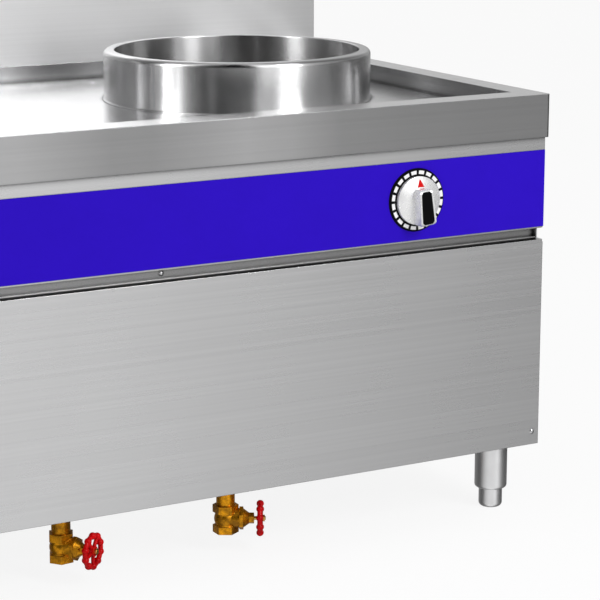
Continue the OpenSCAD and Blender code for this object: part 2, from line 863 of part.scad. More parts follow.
module leg() {
    leg_r = leg_d / 2;
    plate_z = base_h - leg_plate_t;
    difference() {
        union() {
            translate([0, 0, leg_clear_h]) rotate_extrude() {
                square([leg_r - leg_round, plate_z - leg_clear_h]);
                translate([0, leg_round]) square([leg_r, plate_z - leg_clear_h - leg_round]);
                translate([leg_r - leg_round, leg_round]) circle(leg_round);
            }
            translate([-leg_plate_w / 2, -leg_plate_w / 2, plate_z])
                cube([leg_plate_w, leg_plate_w, leg_plate_t]);
        }
        translate([0, 0, leg_clear_h + leg_plug_t])
            cylinder(r = leg_r - leg_wall, h = plate_z - leg_clear_h - leg_plug_t);
        translate([0, 0, leg_clear_h - over])
            cylinder(r = stud_d / 2 + run_fit, h = leg_plug_t + 2 * over);
    }
}

// Adjustable foot, wound in: round lower edge, and a stud in the leg's plug
module foot(side, end) {
    foot_r = foot_d / 2;
    foot_h = leg_clear_h - seat_gap;
    stud_top = leg_clear_h + leg_plug_t + foot_travel - over;
    color("silver") from_lip() leg_place(side, end) rotate_extrude() {
        square([foot_r - foot_round, foot_h]);
        translate([0, foot_round]) square([foot_r, foot_h - foot_round]);
        intersection() {
            translate([foot_r - foot_round, foot_round]) circle(foot_round);
            square(foot_r);
        }
        square([stud_d / 2, stud_top]);
    }
}

// Chamber shell: round wall, floor, and a flange under the basin plate
module chamber(side) {
    color("gray") from_lip() difference() {
        translate([side * burner_x, burner_d, chamber_floor]) rotate_extrude() {
            translate([chamber_r - sheet_t, 0]) square([sheet_t, chamber_h]);
            translate([burner_neck_r + hole_play, 0])
                square([chamber_r - burner_neck_r - hole_play, sheet_t]);
            translate([chamber_r - sheet_t / 2, chamber_h - 2 * sheet_t])
                square([chamber_flange_w + sheet_t / 2, sheet_t]);
        }
        on_side(side) {
            flue_port();
            pilot_hole();
            translate([burner_x, burner_d - feed_inlet_r, chamber_floor - over])
                cylinder(d = feed_pipe_d + 2 * hole_play, h = sheet_t + 2 * over);
        }
    }
}

// Port of a right-hand chamber into its flue
module flue_port() {
    block([burner_x - flue_w / 2, burner_d + bowl_r / 2, flue_level_z],
        [burner_x + flue_w / 2, burner_d + chamber_r + over, flue_level_z + flue_level_h]);
}

// Hole of a right-hand pilot tube through shell and lining
module pilot_hole() {
    translate([knob_x, burner_d - chamber_r, pilot_z]) rotate([-90, 0, 0])
        cylinder(r = pilot_d / 2 + hole_play, h = pilot_seat + pilot_d - burner_d + chamber_r);
}

// Points of the bowl's curve from the hole in its floor up to its straight part: radius and height
function bowl_points(steps = 8) = [
    for (i = [0:steps])
        let (turn = 90 * i / steps, rise = bowl_z - lining_z - lining_floor_t)
            [lining_hole_r + (bowl_r - lining_hole_r) * sin(turn), lining_floor_t + rise * (1 - cos(turn))]
];

// Cast refractory lining with a bowl inside
module lining(side) {
    color("tan") from_lip() difference() {
        translate([side * burner_x, burner_d, lining_z]) rotate_extrude()
            polygon(concat([[lining_r, 0], [lining_hole_r, 0]], bowl_points(),
                [[bowl_r, lining_h], [lining_r, lining_h]]));
        on_side(side) {
            flue_port();
            pilot_hole();
        }
    }
}

// Cast burner head: foot, neck, round crown with a ring of slots and a middle hole
module burner(side) {
    floor_z = chamber_floor + sheet_t;
    hollow_r = burner_neck_r - burner_wall;
    crown_hollow_r = burner_crown_r - burner_wall;
    color("dimgray") from_lip() translate([side * burner_x, burner_d, 0]) difference() {
        translate([0, 0, chamber_floor]) rotate_extrude() {
            translate([hollow_r, 0]) square([burner_wall, sheet_t + burner_foot_t]);
            translate([hollow_r, sheet_t]) square([burner_foot_r - hollow_r, burner_foot_t]);
            translate([0, sheet_t]) difference() {
                polygon([
                    [hollow_r, 0], [burner_neck_r, 0], [burner_neck_r, burner_foot_t],
                    [burner_crown_r, burner_h / 2], [burner_crown_r, burner_h - burner_wall],
                    [burner_crown_r - burner_wall, burner_h], [0, burner_h], [0, burner_h - burner_wall]
                ]);
                polygon([
                    [0, -over], [hollow_r, -over], [hollow_r, burner_foot_t], [crown_hollow_r, burner_h / 2],
                    [crown_hollow_r, burner_h - burner_wall], [0, burner_h - burner_wall]
                ]);
            }
        }
        translate([0, 0, floor_z + burner_h - burner_wall - over])
            cylinder(r = flame_hole_r, h = burner_wall + 2 * over);
        for (i = [0:flame_slots - 1])
            rotate([0, 0, 360 * i / flame_slots])
                block([crown_hollow_r / 2, -flame_slot_w / 2, floor_z + burner_h - burner_wall - over],
                    [crown_hollow_r - flame_slot_w, flame_slot_w / 2, floor_z + burner_h + over]);
        translate([0, -feed_inlet_r, chamber_floor])
            cylinder(d = feed_pipe_d + 2 * hole_play, h = sheet_t + burner_foot_t / 2);
    }
}

// Air pipe from the blower's outlet up to the burner, with a flange at each end
module air_pipe(side) {
    inner_r = air_r - sheet_t;
    outlet_half_w = blower_w / 2 + blower_wall;
    outlet_half_h = scroll_growth / 2 + blower_wall;
    color("lightgray") from_lip() translate([side * burner_x, burner_d, 0]) difference() {
        union() {
            air_run(air_r, 0);
            translate([0, 0, chamber_floor - air_flange_t])
                cylinder(r = air_r + air_flange_w, h = air_flange_t);
            translate([0, blower_front - burner_d, air_level_z])
                block([-outlet_half_w, -air_flange_t, -outlet_half_h], [outlet_half_w, 0, outlet_half_h]);
        }
        air_run(inner_r, over);
    }
}

// One run of the air pipe: down, round the bend, and back to the blower
module air_run(r, extra) {
    translate([0, 0, air_bend_z]) cylinder(r = r, h = chamber_floor - air_bend_z + extra);
    translate([0, air_bend_r, air_bend_z]) rotate([0, -90, 0]) rotate([0, 0, 180])
        rotate_extrude(angle = 90) translate([air_bend_r, 0]) circle(r);
    translate([0, air_bend_r, air_level_z]) rotate([-90, 0, 0])
        cylinder(r = r, h = blower_front - burner_d - air_bend_r + extra);
}

// Points of the scroll's outline: depth and height from its axis, growing towards the outlet
function scroll_points(extra, steps = 48) = [
    for (i = [0:steps])
        let (turn = 90 + 360 * i / steps, r = tongue_r + extra + scroll_growth * i / steps)
            [-r * sin(turn - 90), r * cos(turn - 90)]
];

// Scroll and outlet outline, thicker by an extra amount
module scroll_outline(extra, reach) {
    polygon(scroll_points(extra));
    translate([-reach, tongue_r - extra]) square([reach, scroll_growth + 2 * extra]);
}

// Places a right-hand blower part: its own X and Y are depth and height, its Z points outwards
module at_blower(side) {
    from_lip() on_side(side) translate([burner_x, blower_inset, blower_z])
        multmatrix([[0, 0, 1, 0], [1, 0, 0, 0], [0, 1, 0, 0], [0, 0, 0, 1]]) children();
}

// Blower housing: scroll with outlet, intake on its outer side, foot plate on its cheeks
module blower_housing(side) {
    half = blower_w / 2 + blower_wall;
    foot_y = base_frame_z + angle_t - blower_z;
    cheek_half = blower_foot_half;
    color("slategray") at_blower(side) difference() {
        union() {
            translate([0, 0, -half]) linear_extrude(2 * half) scroll_outline(blower_wall, outlet_reach);
            for (low = [-half, half - blower_wall])
                block([-cheek_half, foot_y, low], [cheek_half, 0, low + blower_wall]);
            block([-cheek_half, foot_y, -half], [cheek_half, foot_y + blower_wall, half]);
        }
        translate([0, 0, -blower_w / 2]) linear_extrude(blower_w) scroll_outline(0, outlet_reach + over);
        cylinder(d = intake_d, h = half + over);
        translate([0, 0, -half - over]) cylinder(r = shaft_r + blower_wall, h = half);
    }
}

// Motor on the blower's inner side, finned, bored for its shaft
module blower_motor(side) {
    half = blower_w / 2 + blower_wall;
    color("dimgray") at_blower(side) translate([0, 0, -half - motor_len]) difference() {
        union() {
            cylinder(d = motor_d, h = motor_len);
            for (i = [0:motor_fins - 1])
                rotate([0, 0, 360 * i / motor_fins])
                    block([motor_d / 2 - over, -motor_fin_t / 2, motor_len / 6],
                        [motor_d / 2 + motor_fin_h, motor_fin_t / 2, motor_len * 5 / 6]);
        }
        translate([0, 0, motor_len / 2]) cylinder(r = shaft_r + run_fit, h = motor_len);
    }
}

// Impeller: back plate with hub and shaft, slanted blades and a front ring
module impeller(side) {
    half = blower_w / 2 + blower_wall;
    low = -impeller_w / 2;
    color("lightsteelblue") at_blower(side) union() {
        translate([0, 0, low]) cylinder(r = impeller_r, h = blade_t);
        translate([0, 0, low]) cylinder(r = 2 * shaft_r, h = impeller_w / 3);
        translate([0, 0, -half - motor_len / 2 + over]) cylinder(r = shaft_r, h = half + motor_len / 2);
        translate([0, 0, impeller_w / 2 - blade_t]) difference() {
            cylinder(r = impeller_r, h = blade_t);
            translate([0, 0, -over]) cylinder(r = impeller_r - blade_w / 2, h = blade_t + 2 * over);
        }
        for (i = [0:blade_count - 1])
            rotate([0, 0, 360 * i / blade_count]) translate([impeller_r - blade_w / 2 - blade_t, 0, low])
                rotate([0, 0, blade_slant])
                    block([-blade_w / 2, -blade_t / 2, blade_t / 2],
                        [blade_w / 2, blade_t / 2, impeller_w - blade_t / 2]);
    }
}

// Flue: level part from the chamber's port, then a riser up to the slots in the backsplash
module flue(side) {
    color("gray") from_lip() on_side(side) difference() {
        flue_body(flue_wall, 0);
        flue_body(0, over);
        translate([burner_x, burner_d, flue_level_z - 2 * flue_wall])
            cylinder(r = chamber_r + hole_play, h = flue_level_h + 4 * flue_wall);
    }
}

// Solid of a right-hand flue, grown by its wall
module flue_body(wall, extra) {
    back = flue_front + 2 * flue_wall + flue_riser_d;
    low_x = burner_x - flue_w / 2 - wall;
    high_x = burner_x + flue_w / 2 + wall;
    block([low_x, burner_d + chamber_r / 2, flue_level_z - wall],
        [high_x, back - flue_wall + wall, flue_level_z + flue_level_h + wall]);
    block([low_x, flue_front + flue_wall - wall, flue_level_z],
        [high_x, back - flue_wall + wall, flue_top + extra]);
}

// Pipe through a list of points, with a round fitting at each bend
module pipe(points, outer_r, wall) {
    last = len(points) - 1;
    difference() {
        union() {
            for (i = [1:last]) bar(points[i - 1], points[i], outer_r);
            for (i = [1:last - 1]) translate(points[i]) sphere(outer_r + fitting_extra);
        }
        for (i = [1:last]) bar(points[i - 1], points[i], outer_r - wall);
    }
}

// Gas pipes of one side: main pipe up from the gate valve, burner pipe, pilot tube
module gas_pipes(side) {
    main_r = main_pipe_d / 2;
    feed_r = feed_pipe_d / 2;
    valve_top = valve_axis_h + valve_half;
    socket_x = knob_x - control_socket_reach;
    inlet_d = burner_d - feed_inlet_r;
    color("goldenrod") from_lip() on_side(side) {
        pipe([[valve_x, valve_inset, valve_top], [valve_x, valve_inset, knob_z],
            [socket_x, control_inset, knob_z]], main_r, main_pipe_wall);
        translate([valve_x, valve_inset, valve_top - port_depth + over]) difference() {
            cylinder(r = port_r - hole_play, h = port_depth);
            translate([0, 0, -over]) cylinder(r = main_r - main_pipe_wall, h = port_depth + 2 * over);
        }
        pipe([[knob_x, control_inset, knob_z - control_socket_reach], [knob_x, control_inset, feed_z],
            [burner_x, control_inset, feed_z], [burner_x, inlet_d, feed_z],
            [burner_x, inlet_d, chamber_floor + sheet_t + burner_foot_t / 2 - hole_play]],
            feed_r, feed_pipe_wall);
        pipe([[knob_x, control_inset, knob_z + control_socket_reach], [knob_x, control_inset, pilot_z],
            [knob_x, pilot_seat + pilot_reach, pilot_z]],
            pilot_d / 2, pilot_d / 4);
    }
}

// Control valve body: core, three sockets, and a neck with a flange behind the panel
module control_valve(side) {
    neck = control_inset - steel_face - sheet_t;
    socket_r = main_pipe_d / 2 + fitting_extra / 2;
    feed_socket_r = feed_pipe_d / 2 + fitting_extra / 2;
    color("darkgoldenrod") from_lip() on_side(side) translate([knob_x, control_inset, knob_z]) difference() {
        union() {
            cylinder(d = control_body_d, h = control_body_h, center = true);
            rotate([0, -90, 0]) cylinder(r = socket_r, h = control_socket_reach);
            translate([0, 0, -control_socket_reach]) cylinder(r = feed_socket_r, h = control_socket_reach);
            cylinder(r = pilot_d, h = control_socket_reach);
            forwards() cylinder(d = control_neck_d, h = neck);
            translate([0, -neck, 0]) rotate([-90, 0, 0]) cylinder(d = control_flange_d, h = control_flange_t);
        }
        translate([0, spindle_end - control_inset + seat_gap, 0])
            forwards() cylinder(r = spindle_r + run_fit, h = 2 * control_inset);
    }
}

// Spindle from the control valve out into the knob
module spindle(side) {
    reach = spindle_end - panel_setback + knob_gap + dial_t + knob_edge_t;
    color("silver") from_lip() on_side(side) translate([knob_x, spindle_end, knob_z])
        forwards() cylinder(r = spindle_r, h = reach);
}

// Places a knob part: its own Z points forwards from the coloured band
module at_knob(side) {
    from_lip() translate([side * knob_x, panel_setback, knob_z]) forwards() children();
}

// Raised dial plate on the band, with a slanted edge
module dial(side) {
    color("black") at_knob(side) difference() {
        cylinder(d1 = dial_d, d2 = dial_d - 2 * dial_bevel, h = dial_t);
        translate([0, 0, -over]) cylinder(d = control_neck_d / 2, h = dial_t + 2 * over);
    }
}

// Knob: domed disc with a tapered grip, bored for the spindle
module knob(side) {
    low = dial_t + knob_gap;
    dome_r = (pow(knob_d / 2, 2) + pow(knob_dome_h, 2)) / (2 * knob_dome_h);
    dome_top = knob_edge_t + knob_dome_h;
    color("whitesmoke") at_knob(side) rotate([0, 0, knob_rest_turn]) difference() {
        union() {
            translate([0, 0, low]) rotate_extrude() intersection() {
                square([knob_d / 2, dome_top]);
                translate([0, dome_top - dome_r]) circle(dome_r, $fn = 4 * $fn);
            }
            grip_body(low + knob_edge_t / 2);
        }
        translate([0, 0, grip_face - inset_seat])
            linear_extrude(inset_seat + over) grip_outline(inset_border);
        translate([0, 0, low - over]) cylinder(r = spindle_r + run_fit, h = knob_edge_t + over + run_fit);
    }
}

// Grip outline, seen from the front, drawn in by a border
module grip_outline(border) {
    up = grip_up - border;
    down = grip_down - border;
    tip = grip_tip_w / 2 - border;
    tail = grip_tail_w / 2 - border;
    cut = grip_chamfer * up / grip_up;
    polygon([
        [-tip + cut, up], [tip - cut, up], [tip, up - cut], [tail, cut - down], [tail - cut, -down],
        [cut - tail, -down], [-tail, cut - down], [-tip, up - cut]
    ]);
}

// Solid of the grip, rounded towards its face at both ends
module grip_body(low) {
    intersection() {
        translate([0, 0, low]) linear_extrude(grip_face - low) grip_outline(0);
        translate([-grip_tail_w, 0, 0]) multmatrix([[0, 0, 1, 0], [1, 0, 0, 0], [0, 1, 0, 0], [0, 0, 0, 1]])
            linear_extrude(2 * grip_tail_w) {
                translate([-grip_down, low]) square([grip_down + grip_up, grip_face - grip_round - low]);
                translate([grip_round - grip_down, low])
                    square([grip_down + grip_up - 2 * grip_round, grip_face - low]);
                for (place = [grip_round - grip_down, grip_up - grip_round])
                    translate([place, grip_face - grip_round]) circle(grip_round);
            }
    }
}

// Black inset in the face of the grip
module knob_inset(side) {
    color("black") at_knob(side) rotate([0, 0, knob_rest_turn])
        translate([0, 0, grip_face - inset_seat])
            linear_extrude(inset_seat) grip_outline(inset_border + hole_play);
}

// Turn of a gate valve's stem towards the front
function valve_turn(side) = side == left ? valve_turn_left : valve_turn_right;

// Places a gate valve part: ports along Z, stem along the part's own +X
module at_valve(side) {
    from_lip() translate([side * valve_x, valve_inset, valve_axis_h])
        rotate([0, 0, -valve_turn(side)]) children();
}

// Slot that the gate slides in
module gate_slot() {
    wide = gate_r + gate_room;
    high = gate_half_thick + gate_room;
    block([-wide, -wide, -high], [slot_end, wide, high]);
}

// Gate valve body: two hexagon ends, barrel, side neck, ports, passage and gate slot
module gate_valve(side) {
    color("darkgoldenrod") at_valve(side) difference() {
        union() {
            for (low = [-valve_half, valve_half - valve_hex_h])
                translate([0, 0, low]) hex(valve_hex_w, valve_hex_h);
            translate([0, 0, -valve_half + over]) cylinder(d = valve_barrel_d, h = valve_len - 2 * over);
            sphere(d = valve_barrel_d + fitting_extra);
            along_x() cylinder(d = valve_neck_d, h = valve_neck_reach);
        }
        for (low = [-valve_half - over, valve_half - port_depth])
            translate([0, 0, low]) cylinder(r = port_r, h = port_depth + over);
        translate([0, 0, -valve_half]) cylinder(d = passage_d, h = valve_len);
        gate_slot();
    }
}

// Bonnet with its packing nut, as two solids
module bonnet(side) {
    neck_end = valve_neck_reach + bonnet_hex_h;
    color("goldenrod") at_valve(side) {
        difference() {
            union() {
                translate([valve_neck_reach, 0, 0]) along_x() hex(bonnet_hex_w, bonnet_hex_h);
                translate([neck_end, 0, 0]) along_x()
                    cylinder(d1 = valve_neck_d - over, d2 = bonnet_nose_d, h = bonnet_end - neck_end);
            }
            gate_slot();
            translate([collar_start - over, 0, 0]) along_x()
                cylinder(d = collar_d + 2 * run_fit, h = collar_seat - collar_start + over);
            along_x() cylinder(r = stem_r + run_fit, h = bonnet_end + over);
        }
        difference() {
            translate([bonnet_end, 0, 0]) along_x() hex(packing_hex_w, packing_h);
            along_x() cylinder(r = stem_r + run_fit, h = packing_end + over);
        }
    }
}

// Wedge gate, thicker towards the stem, bored for it
module gate(side) {
    color("khaki") at_valve(side) difference() {
        intersection() {
            cylinder(r = gate_r, h = 4 * gate_half_thick, center = true);
            rotate([90, 0, 0]) linear_extrude(4 * gate_r, center = true) polygon([
                [-gate_r, -gate_half_thin], [gate_r, -gate_half_thick],
                [gate_r, gate_half_thick], [-gate_r, gate_half_thin]
            ]);
        }
        translate([-2 * gate_r, 0, 0]) along_x() cylinder(r = stem_r + run_fit, h = 4 * gate_r);
    }
}

// Stem with its collar, and the wheel nut on its end, as two solids
module valve_stem(side) {
    tip = gate_r - stem_r / 2;
    color("khaki") at_valve(side) {
        translate([tip, 0, 0]) along_x() cylinder(r = stem_r, h = nut_end + stem_end - tip);
        translate([collar_start + run_fit, 0, 0]) along_x()
            cylinder(d = collar_d, h = collar_seat - collar_start - 2 * run_fit);
        difference() {
            translate([hub_end, 0, 0]) along_x() hex(wheel_nut_w, wheel_nut_h);
            along_x() cylinder(r = stem_r + hole_play, h = nut_end + over);
        }
    }
}

// Handwheel: hub, spokes, round rim and grip lobes
module handwheel(side) {
    color("red") at_valve(side) difference() {
        union() {
            translate([hub_start, 0, 0]) along_x() cylinder(d = wheel_hub_d, h = wheel_hub_h);
            translate([wheel_mid, 0, 0]) along_x() {
                rotate_extrude() translate([wheel_ring_r, 0]) circle(d = wheel_rim_d);
                for (i = [0:wheel_lobes - 1])
                    rotate([0, 0, 360 * i / wheel_lobes])
                        translate([wheel_ring_r, 0, 0]) sphere(d = wheel_lobe_d);
                for (i = [0:wheel_spokes - 1])
                    rotate([0, 0, 360 * i / wheel_spokes]) rotate([0, 90, 0])
                        cylinder(d = wheel_spoke_d, h = wheel_ring_r);
            }
        }
        along_x() cylinder(r = stem_r + hole_play, h = 2 * hub_end);
    }
}

// Dome-headed screw: head above the surface, shank below it
module screw() {
    head_r = screw_head_d / 2;
    dome_r = (pow(head_r, 2) + pow(screw_head_h, 2)) / (2 * screw_head_h);
    rotate_extrude() intersection() {
        square([head_r, screw_head_h]);
        translate([0, screw_head_h - dome_r]) circle(dome_r);
    }
    translate([0, 0, -screw_len]) cylinder(d = screw_d, h = screw_len + screw_head_h / 2);
}

// All the dome-headed screws
module screws() {
    color("gray") from_lip() {
        plate_screw_places() screw();
        cover_screw_places() screw();
        rear_screw_places() screw();
        panel_screw_places() screw();
        translate([rail_screw_shift, rail_face, rail_screw_z]) forwards() screw();
    }
}

worktop();
wok_ring(left);  // wok_ring_left
wok_ring(right);  // wok_ring_right
backsplash();
backsplash_cover();
control_panel();
colour_panel();
groove_rail();
lower_panel();
side_panel(left);  // side_panel_left
side_panel(right);  // side_panel_right
rear_panel();
bottom_pan();
base_frame();
upper_frame();
legs();
foot(left, front_end);  // foot_front_left
foot(right, front_end);  // foot_front_right
foot(left, rear_end);  // foot_rear_left
foot(right, rear_end);  // foot_rear_right
chamber(left);  // chamber_left
chamber(right);  // chamber_right
lining(left);  // lining_left
lining(right);  // lining_right
burner(left);  // burner_left
burner(right);  // burner_right
air_pipe(left);  // air_pipe_left
air_pipe(right);  // air_pipe_right
blower_housing(left);  // blower_housing_left
blower_housing(right);  // blower_housing_right
blower_motor(left);  // blower_motor_left
blower_motor(right);  // blower_motor_right
impeller(left);  // impeller_left
impeller(right);  // impeller_right
flue(left);  // flue_left
flue(right);  // flue_right
gas_pipes(left);  // gas_pipes_left
gas_pipes(right);  // gas_pipes_right
control_valve(left);  // control_valve_left
control_valve(right);  // control_valve_right
spindle(left);  // spindle_left
spindle(right);  // spindle_right
dial(left);  // dial_left
dial(right);  // dial_right
knob(left);  // knob_left
knob(right);  // knob_right
knob_inset(left);  // knob_inset_left
knob_inset(right);  // knob_inset_right
gate_valve(left);  // gate_valve_left
gate_valve(right);  // gate_valve_right
bonnet(left);  // bonnet_left
bonnet(right);  // bonnet_right
gate(left);  // gate_left
gate(right);  // gate_right
valve_stem(left);  // valve_stem_left
valve_stem(right);  // valve_stem_right
handwheel(left);  // handwheel_left
handwheel(right);  // handwheel_right
screws();
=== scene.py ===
"""Looks of the wok range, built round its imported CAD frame. Metres, +Z up, the front faces -Y."""

import math

import bmesh
import bpy
from mathutils import Matrix, Vector
from mathutils.bvhtree import BVHTree

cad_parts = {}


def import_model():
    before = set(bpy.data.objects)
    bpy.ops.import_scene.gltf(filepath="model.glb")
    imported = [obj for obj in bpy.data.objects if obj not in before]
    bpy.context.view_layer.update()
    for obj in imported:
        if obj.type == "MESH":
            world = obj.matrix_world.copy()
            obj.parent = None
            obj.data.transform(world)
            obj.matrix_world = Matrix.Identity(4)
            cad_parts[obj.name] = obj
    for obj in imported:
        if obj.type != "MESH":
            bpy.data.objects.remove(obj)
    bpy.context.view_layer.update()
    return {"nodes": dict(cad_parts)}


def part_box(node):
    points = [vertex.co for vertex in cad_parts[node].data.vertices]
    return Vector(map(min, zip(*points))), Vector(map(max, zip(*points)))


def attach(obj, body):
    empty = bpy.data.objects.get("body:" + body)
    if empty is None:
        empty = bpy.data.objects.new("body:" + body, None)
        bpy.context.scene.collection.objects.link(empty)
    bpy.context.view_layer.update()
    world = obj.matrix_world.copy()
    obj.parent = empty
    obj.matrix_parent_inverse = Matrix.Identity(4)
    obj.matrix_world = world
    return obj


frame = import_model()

SIDES = ("left", "right")


# Node graphs

# Sockets of a Mix node: its two numbers, its two colours, and the mixed colour
NUMBER_A, NUMBER_B = 2, 3
COLOUR_A, COLOUR_B = 6, 7
COLOUR_OUT = 2

NOISE_LOW, NOISE_HIGH = 0.3, 0.7  # nearly all of a noise lies between these
FACING = 0.5  # a face looks along an axis if its normal has more than this of it
GRAIN_STRETCH = 0.0015  # the smaller, the longer the lines of brushed metal
PAINTED_LIGHT_SPAN = 2.0  # metres along the front that a ramp of painted light and shade covers
# samples of the bevel, and of the AO that places painted shade in narrow gaps
BEVEL_SAMPLES, SHADE_SAMPLES = 3, 6
EDGE_SHARP, EDGE_FLAT = 0.75, 0.99  # cosines between the plain and the rounded normal
# Painted shade in narrow gaps and corners: how far the AO looks for them
SHADE_REACH = 0.012
SHADE_DEEP, SHADE_OPEN = 0.50, 0.92  # levels of AO at which the painted shade in gaps is full, and at which there is none


def grey(level):
    """A grey with its alpha."""
    return (level, level, level, 1.0)


def scaled(colour, factor, lift=0.0):
    """A colour made darker or lighter."""
    return tuple(min(1.0, c * factor + lift) for c in colour)


class Nodes:
    """Short calls for a node tree, which starts empty."""

    def __init__(self, tree):
        self.tree = tree
        tree.nodes.clear()

    def node(self, kind, **values):
        made = self.tree.nodes.new(kind)
        for key, value in values.items():
            setattr(made, key, value)
        return made

    def link(self, start, end):
        self.tree.links.new(start, end)

    def put(self, value, socket):
        """Links a socket, or sets a plain value; a colour gets its alpha."""
        if isinstance(value, bpy.types.NodeSocket):
            self.link(value, socket)
        elif isinstance(value, tuple) and len(value) == 3:
            socket.default_value = (*value, 1.0)
        else:
            socket.default_value = value

    def math(self, operation, a, b=0.0, clamp=False):
        made = self.node("ShaderNodeMath", operation=operation, use_clamp=clamp)
        self.put(a, made.inputs[0])
        self.put(b, made.inputs[1])
        return made.outputs[0]

    def split(self, vector):
        """A vector's x, y and z."""
        made = self.node("ShaderNodeSeparateXYZ")
        self.link(vector, made.inputs[0])
        return made.outputs

    def spread(self, value, low, high, start=0.0, end=1.0):
        """Maps a value from start..end to low..high."""
        made = self.node("ShaderNodeMapRange")
        numbers = {"From Min": start, "From Max": end, "To Min": low, "To Max": high}
        for key, number in numbers.items():
            made.inputs[key].default_value = number
        self.link(value, made.inputs["Value"])
        return made.outputs["Result"]

    def sway(self, noise, low, high):
        """Maps the usual range of a noise to low..high."""
        return self.spread(noise, low, high, NOISE_LOW, NOISE_HIGH)

    def mask(self, value, start, end, share=1.0):
        """0 where a value is below start, and up to share at end."""
        return self.spread(value, 0.0, share, start, end)

    def blend(self, factor, a, b, mode="MIX"):
        """Mixes two colours."""
        made = self.node("ShaderNodeMix", data_type="RGBA", blend_type=mode)
        self.put(factor, made.inputs["Factor"])
        self.put(a, made.inputs[COLOUR_A])
        self.put(b, made.inputs[COLOUR_B])
        return made.outputs[COLOUR_OUT]

    def over(self, tone, colour, amount, share):
        """Lays a colour over a tone, as strongly as share times amount."""
        return self.blend(self.math("MULTIPLY", amount, share), tone, colour)

    def ramp(self, value, stops, ends):
        """A grey by a value from 0 to 1: (value, level) pairs, and the levels at 0 and 1."""
        made = self.node("ShaderNodeValToRGB")
        self.link(value, made.inputs[0])
        elements = made.color_ramp.elements
        elements[0].color, elements[1].color = grey(ends[0]), grey(ends[1])
        for place, level in stops:
            elements.new(place).color = grey(level)
        return made.outputs[0]


class Graph(Nodes):
    """A material's nodes, round one Principled shader."""

    def __init__(self, name):
        self.material = bpy.data.materials.new(name)
        self.material.use_nodes = True
        super().__init__(self.material.node_tree)
        self.output = self.node("ShaderNodeOutputMaterial")
        self.shader = self.node("ShaderNodeBsdfPrincipled")
        self.link(self.shader.outputs["BSDF"], self.output.inputs["Surface"])
        coordinates = self.node("ShaderNodeTexCoord")
        self.place = coordinates.outputs["Object"]
        self.facing = self.split(coordinates.outputs["Normal"])

    def noise(self, scale, stretch=(1, 1, 1), detail=4, rough=0.5):
        """Noise with a pattern of about 1/scale metres, longer where stretch is small."""
        mapping = self.node("ShaderNodeMapping")
        mapping.inputs["Scale"].default_value = [scale * s for s in stretch]
        self.link(self.place, mapping.inputs["Vector"])
        made = self.node("ShaderNodeTexNoise")
        self.link(mapping.outputs[0], made.inputs["Vector"])
        made.inputs["Scale"].default_value = 1.0
        made.inputs["Detail"].default_value = detail
        made.inputs["Roughness"].default_value = rough
        return made.outputs["Fac"]

    def grain(self, scale):
        """Lines along the front, or from front to back on faces that look sideways."""
        sideways = self.math("GREATER_THAN", self.math("ABSOLUTE", self.facing[0]), FACING)
        across = self.noise(scale, (GRAIN_STRETCH, 1, 1), detail=2)
        inwards = self.noise(scale, (1, GRAIN_STRETCH, 1), detail=2)
        made = self.node("ShaderNodeMix")
        self.link(sideways, made.inputs["Factor"])
        self.link(across, made.inputs[NUMBER_A])
        self.link(inwards, made.inputs[NUMBER_B])
        return made.outputs[0]

    def painted_light_ramp(self, stops):
        """Painted light and shade along the front, as a grey: (metres to the right of the middle,
        tone) pairs.
        """
        across = self.split(self.place)[0]
        value = self.math("ADD", self.math("MULTIPLY", across, 1 / PAINTED_LIGHT_SPAN), 0.5)
        places = [(place / PAINTED_LIGHT_SPAN + 0.5, tone) for place, tone in stops]
        return self.ramp(value, places, (stops[0][1], stops[-1][1]))

    def edges(self, radius):
        """0 on flat faces, up to 1 along edges, and the rounded normal."""
        bevel = self.node("ShaderNodeBevel", samples=BEVEL_SAMPLES)
        bevel.inputs["Radius"].default_value = radius
        geometry = self.node("ShaderNodeNewGeometry")
        dot = self.node("ShaderNodeVectorMath", operation="DOT_PRODUCT")
        self.link(bevel.outputs[0], dot.inputs[0])
        self.link(geometry.outputs["Normal"], dot.inputs[1])
        edge = self.spread(dot.outputs["Value"], 1.0, 0.0, EDGE_SHARP, EDGE_FLAT)
        return edge, bevel.outputs[0]

    def shade_in_gaps(self):
        """Painted shade: 1 deep in narrow gaps and corners, 0 in the open, found by AO."""
        made = self.node("ShaderNodeAmbientOcclusion", samples=SHADE_SAMPLES)
        made.inputs["Distance"].default_value = SHADE_REACH
        return self.spread(made.outputs["AO"], 1.0, 0.0, SHADE_DEEP, SHADE_OPEN)

    def bump(self, height, strength, distance, normal=None):
        made = self.node("ShaderNodeBump")
        made.inputs["Strength"].default_value = strength
        made.inputs["Distance"].default_value = distance
        self.link(height, made.inputs["Height"])
        if normal is not None:
            self.link(normal, made.inputs["Normal"])
        return made.outputs[0]

    def finish(self, colour, rough, normal=None, metal=0.0, **rest):
        s = self.shader.inputs
        self.link(colour, s["Base Color"])
        self.link(rough, s["Roughness"])
        if normal is not None:
            self.link(normal, s["Normal"])
        s["Metallic"].default_value = metal
        for key, value in rest.items():
            s[key.replace("_", " ")].default_value = value
        return self.material


# Materials

FINE_LINES, WIDE_LINES = 1400, 150  # brushing lines to a metre, in the surface and in its tone
BRUSH_CONTRAST = 0.035
UPRIGHT_STREAK = 0.25  # of a turn round the surface, so that highlights run upright
# The second colour of the first pair is painted shade, laid near black in narrow gaps and corners
SMUDGE, SHADE_BLACK = (0.30, 0.29, 0.28), (0.02, 0.02, 0.02)
DUST, SOOT, PIT = (0.33, 0.32, 0.30), (0.018, 0.016, 0.015), (0.020, 0.018, 0.016)
RUBBED_STEEL, RUBBED_CHROME = (0.88, 0.88, 0.89), (0.92, 0.92, 0.93)
RUBBED_ZINC = (0.80, 0.80, 0.81)
PRIMER = (0.30, 0.30, 0.31)


